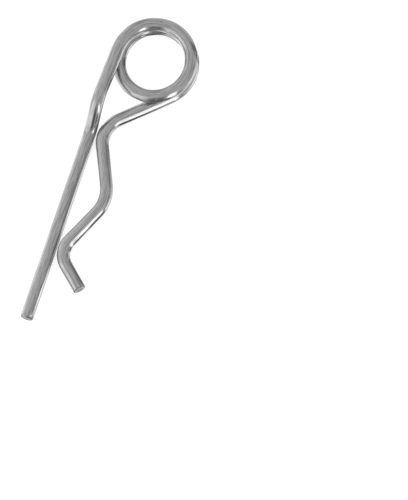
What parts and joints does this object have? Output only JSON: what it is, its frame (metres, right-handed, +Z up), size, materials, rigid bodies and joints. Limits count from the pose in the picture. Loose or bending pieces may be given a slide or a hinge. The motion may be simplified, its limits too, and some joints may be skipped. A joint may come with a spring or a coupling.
{
  "type": "hitch r clip pin",
  "caption": "R-shaped hitch clip pin of round spring wire: a straight leg for a shaft's cross-hole, a ring coil with a finger eye, and a humped spring leg that snaps over the shaft.",
  "frame": {"origin": "on the straight leg's axis where it crosses the axis of the shaft that the seat closes on", "axes": "+X along the straight leg towards its tip, the way it leaves the shaft's far side; +Y to the side of the coil and the spring leg; +Z up, along the shaft's axis, with the clip lying flat"},
  "size_m": [0.1214, 0.0339, 0.0147],
  "materials": {
    "wire": "bright drawn spring wire, lightly polished, fine streaks along the wire"
  },
  "bodies": {
    "root": {"r_clip": "wire"}
  },
  "joints": []
}
